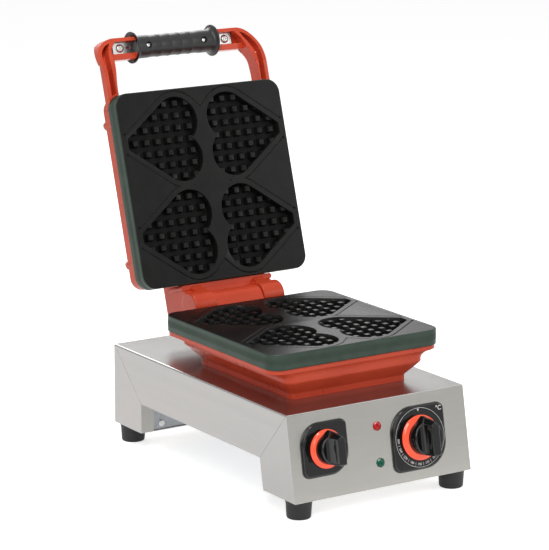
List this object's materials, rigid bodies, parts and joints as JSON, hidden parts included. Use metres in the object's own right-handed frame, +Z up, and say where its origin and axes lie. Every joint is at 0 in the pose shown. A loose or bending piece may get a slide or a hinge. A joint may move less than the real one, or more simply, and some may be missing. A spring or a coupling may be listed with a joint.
{
  "type": "heart waffle maker",
  "caption": "Countertop waffle maker: stainless body on rubber feet, hinged cast plates with heart pockets, bar handle with a moulded grip, rotary switch and dial.",
  "frame": {"origin": "middle of the whole object's box in X and Y with the lid open, on the surface the feet stand on", "axes": "+X to the right seen from the front, +Y from the front to the back, +Z up"},
  "size_m": [0.23, 0.4776, 0.4603],
  "materials": {
    "stainless": "brushed",
    "galvanised": "galvanised",
    "painted_casting": "satin paint",
    "cast_plate": "seasoned, ground sides",
    "foot_rubber": "matt",
    "fasteners": "plated",
    "heater_tube": "oxidised",
    "mineral_wool": "fibrous",
    "plated_bar": "bright zinc",
    "lid_cover_sheet": "satin paint",
    "grip_black": "satin",
    "bezel_black": "gloss",
    "knob_black": "gloss",
    "knob_orange": "gloss",
    "lens_red": "translucent",
    "lens_green": "translucent",
    "black_polyamide": "matt",
    "white_polyamide": "matt"
  },
  "bodies": {
    "base": {"top_panel": "stainless", "front_panel": "stainless", "rear_panel": "stainless", "bottom_tray": "galvanised", "tray_screws": "fasteners", "foot_front_left": "foot_rubber", "foot_front_right": "foot_rubber", "foot_rear_left": "foot_rubber", "foot_rear_right": "foot_rubber", "foot_screws": "fasteners", "foot_nuts": "fasteners", "lower_casting": "painted_casting", "hinge_bracket": "painted_casting", "casting_bolts": "fasteners", "lower_plate": "cast_plate", "plate_screws": "fasteners", "lower_heater": "heater_tube", "lower_insulation": "mineral_wool", "temperature_probe": "fasteners", "thermostat": "white_polyamide", "rotary_switch": "white_polyamide", "thermostat_bezel": "bezel_black", "switch_bezel": "bezel_black", "control_screws": "fasteners", "red_lamp": "lens_red", "green_lamp": "lens_green", "lamp_nuts": "black_polyamide", "terminal_block": "white_polyamide", "cable_gland": "black_polyamide", "gland_nut": "black_polyamide", "earth_stud": "fasteners"},
    "lid": {"upper_casting": "painted_casting", "upper_plate": "cast_plate", "lid_bolts": "fasteners", "upper_heater": "heater_tube", "upper_insulation": "mineral_wool", "lid_cover": "lid_cover_sheet", "lid_cover_screws": "fasteners", "hinge_pin": "fasteners", "arm_left": "painted_casting", "arm_right": "painted_casting", "handle_bar": "plated_bar", "handle_screws": "fasteners", "grip_front": "grip_black", "grip_back": "grip_black", "grip_screws": "fasteners"},
    "thermostat_dial": {"thermostat_skirt": "knob_orange", "thermostat_knob": "knob_black", "thermostat_shaft": "fasteners"},
    "switch_dial": {"switch_skirt": "knob_orange", "switch_knob": "knob_black", "switch_shaft": "fasteners"}
  },
  "joints": [
    {"name": "lid_hinge", "type": "hinge", "parent": "base", "child": "lid", "pos_m": [0, 0.08829, 0.164], "axis": [1, 0, 0], "range_deg": [0, 107]},
    {"name": "thermostat_turn", "type": "hinge", "parent": "base", "child": "thermostat_dial", "pos_m": [0.0493, -0.20148, 0.06494], "axis": [0, 0.9825, -0.1863], "range_deg": [0, 270]},
    {"name": "switch_turn", "type": "hinge", "parent": "base", "child": "switch_dial", "pos_m": [-0.072, -0.20018, 0.07182], "axis": [0, 0.9825, -0.1863], "range_deg": [0, 90]}
  ]
}
